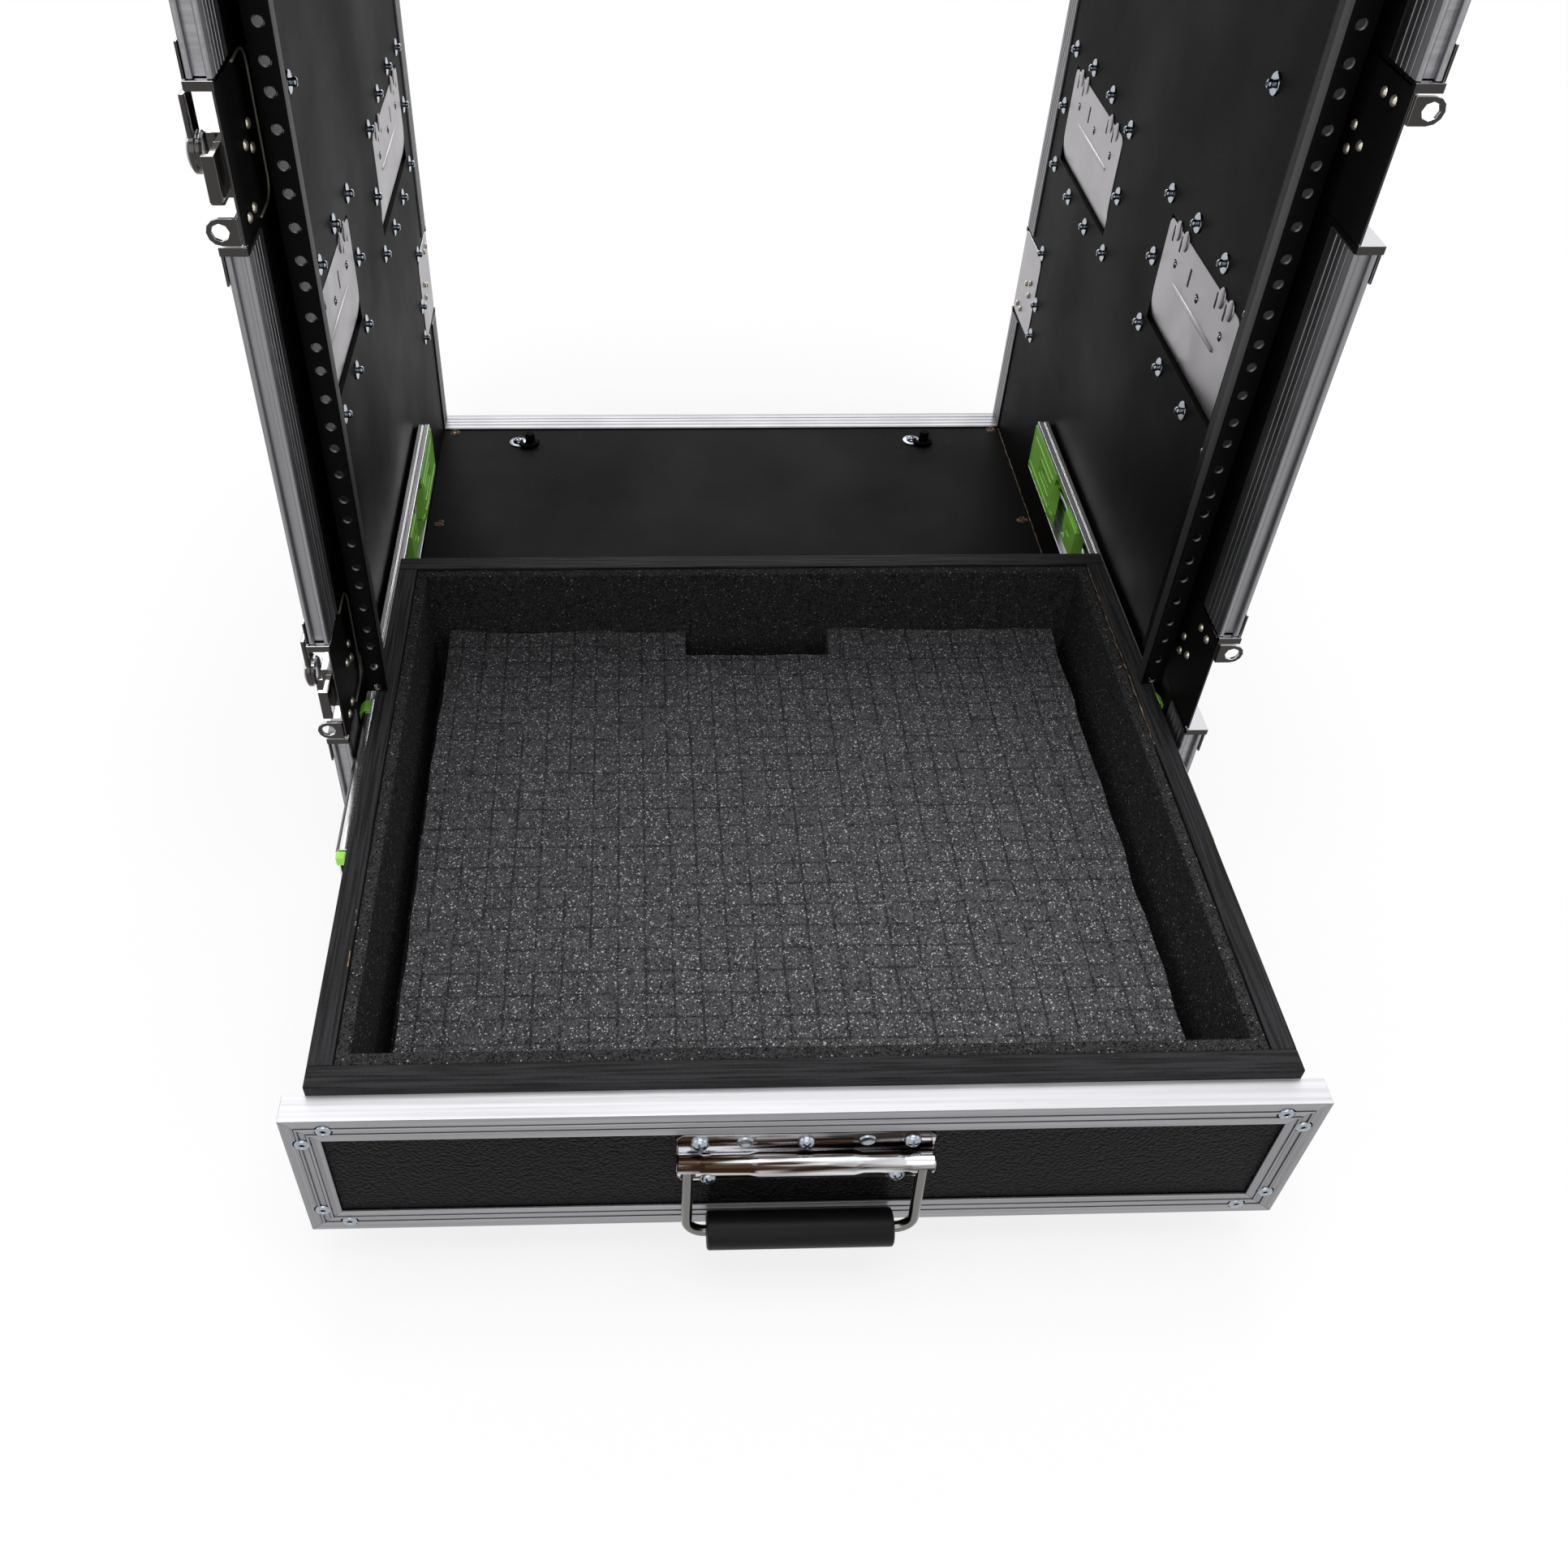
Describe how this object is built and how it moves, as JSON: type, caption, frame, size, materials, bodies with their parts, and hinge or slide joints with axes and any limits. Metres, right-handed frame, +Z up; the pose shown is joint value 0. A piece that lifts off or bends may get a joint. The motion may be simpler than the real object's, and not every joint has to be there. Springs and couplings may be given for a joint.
{
  "type": "rack road case with drawer",
  "caption": "Open-ended black rack road case with aluminium edges, recessed latches and handles, tapped rack rails, and a foam-lined drawer on soft-close slides.",
  "frame": {"origin": "on the ground under the middle of the outline, with the drawer pulled out", "axes": "+Z up, +Y from the open front with the drawer to the open rear, +X to the right seen from the front"},
  "size_m": [0.54, 0.808, 0.6134],
  "materials": {
    "laminate": "plywood faced with satin black laminate",
    "black_plywood": "plywood with black film face",
    "aluminium": "extruded, satin, with fine ribs",
    "black_steel": "satin black powder coat",
    "chrome": "bright plated steel",
    "zinc": "zinc-plated pressed steel",
    "slide_steel": "zinc-plated rolled steel",
    "rubber": "matt black",
    "foam": "open-cell foam, dark grey",
    "green_plastic": "moulded"
  },
  "bodies": {
    "case": {"left_wall": "laminate", "right_wall": "laminate", "floor_panel": "laminate", "top_panel": "laminate", "front_edge_bottom": "aluminium", "front_edge_top": "aluminium", "front_edge_left": "aluminium", "front_edge_right": "aluminium", "rear_edge_bottom": "aluminium", "rear_edge_top": "aluminium", "rear_edge_left": "aluminium", "rear_edge_right": "aluminium", "long_edge_bottom_left": "aluminium", "long_edge_top_left": "aluminium", "rack_rail_left": "black_steel", "slide_cabinet_member_left": "slide_steel", "soft_close_unit_left": "green_plastic", "slide_front_stop_left": "green_plastic", "side_handle_dish_front_left": "zinc", "foot_front_left": "rubber", "latch_dish_front_lower_left": "chrome", "latch_dish_front_upper_left": "chrome", "side_handle_dish_rear_left": "zinc", "foot_rear_left": "rubber", "latch_dish_rear_lower_left": "chrome", "latch_dish_rear_upper_left": "chrome", "long_edge_bottom_right": "aluminium", "long_edge_top_right": "aluminium", "rack_rail_right": "black_steel", "slide_cabinet_member_right": "slide_steel", "soft_close_unit_right": "green_plastic", "slide_front_stop_right": "green_plastic", "side_handle_dish_front_right": "zinc", "foot_front_right": "rubber", "latch_dish_front_lower_right": "chrome", "latch_dish_front_upper_right": "chrome", "side_handle_dish_rear_right": "zinc", "foot_rear_right": "rubber", "latch_dish_rear_lower_right": "chrome", "latch_dish_rear_upper_right": "chrome"},
    "drawer": {"drawer_box": "black_plywood", "drawer_foam_liner": "foam", "drawer_foam_slab": "foam", "drawer_front_panel": "laminate", "drawer_front_frame": "aluminium", "drawer_pull_plate": "chrome", "slide_drawer_member_left": "slide_steel", "slide_drawer_member_right": "slide_steel"},
    "drawer_pull_bail": {"drawer_pull_bail": "chrome", "drawer_pull_grip": "rubber"},
    "slide_middle_member_left": {"slide_middle_member_left": "slide_steel"},
    "slide_middle_member_right": {"slide_middle_member_right": "slide_steel"},
    "side_handle_bail_front_left": {"side_handle_bail_front_left": "chrome"},
    "latch_wing_front_lower_left": {"latch_wing_front_lower_left": "chrome"},
    "latch_wing_front_upper_left": {"latch_wing_front_upper_left": "chrome"},
    "side_handle_bail_front_right": {"side_handle_bail_front_right": "chrome"},
    "side_handle_bail_rear_left": {"side_handle_bail_rear_left": "chrome"},
    "side_handle_bail_rear_right": {"side_handle_bail_rear_right": "chrome"},
    "latch_wing_rear_lower_right": {"latch_wing_rear_lower_right": "chrome"},
    "latch_wing_rear_upper_right": {"latch_wing_rear_upper_right": "chrome"}
  },
  "joints": [
    {"name": "drawer_slide", "type": "slide", "parent": "case", "child": "drawer", "axis": [0, 1, 0], "range_m": [0, 0.275]},
    {"name": "drawer_pull_hinge", "type": "hinge", "parent": "drawer", "child": "drawer_pull_bail", "pos_m": [0, -0.38835, 0.0966], "axis": [-1, 0, 0], "range_deg": [0, 90]},
    {"name": "slide_middle_left", "type": "slide", "parent": "case", "child": "slide_middle_member_left", "axis": [0, 1, 0], "range_m": [0, 0.1375]},
    {"name": "slide_middle_right", "type": "slide", "parent": "case", "child": "slide_middle_member_right", "axis": [0, 1, 0], "range_m": [0, 0.1375]},
    {"name": "side_handle_hinge_front_left", "type": "hinge", "parent": "case", "child": "side_handle_bail_front_left", "pos_m": [-0.2565, 0.02705, 0.342], "axis": [0, 1, 0], "range_deg": [0, 90]},
    {"name": "latch_turn_front_lower_left", "type": "hinge", "parent": "case", "child": "latch_wing_front_lower_left", "pos_m": [-0.264, -0.10995, 0.1685], "axis": [-1, 0, 0], "range_deg": [0, 180]},
    {"name": "latch_turn_front_upper_left", "type": "hinge", "parent": "case", "child": "latch_wing_front_upper_left", "pos_m": [-0.264, -0.10995, 0.4665], "axis": [-1, 0, 0], "range_deg": [0, 180]},
    {"name": "side_handle_hinge_front_right", "type": "hinge", "parent": "case", "child": "side_handle_bail_front_right", "pos_m": [0.2565, 0.02705, 0.342], "axis": [0, -1, 0], "range_deg": [0, 90]},
    {"name": "side_handle_hinge_rear_left", "type": "hinge", "parent": "case", "child": "side_handle_bail_rear_left", "pos_m": [-0.2565, 0.27755, 0.342], "axis": [0, 1, 0], "range_deg": [0, 90]},
    {"name": "side_handle_hinge_rear_right", "type": "hinge", "parent": "case", "child": "side_handle_bail_rear_right", "pos_m": [0.2565, 0.27755, 0.342], "axis": [0, -1, 0], "range_deg": [0, 90]},
    {"name": "latch_turn_rear_lower_right", "type": "hinge", "parent": "case", "child": "latch_wing_rear_lower_right", "pos_m": [0.264, 0.37305, 0.1685], "axis": [1, 0, 0], "range_deg": [0, 180]},
    {"name": "latch_turn_rear_upper_right", "type": "hinge", "parent": "case", "child": "latch_wing_rear_upper_right", "pos_m": [0.264, 0.37305, 0.4665], "axis": [1, 0, 0], "range_deg": [0, 180]}
  ],
  "couplings": [
    {"joint": "slide_middle_left", "follows": "drawer_slide", "ratio": 0.5},
    {"joint": "slide_middle_right", "follows": "drawer_slide", "ratio": 0.5}
  ]
}
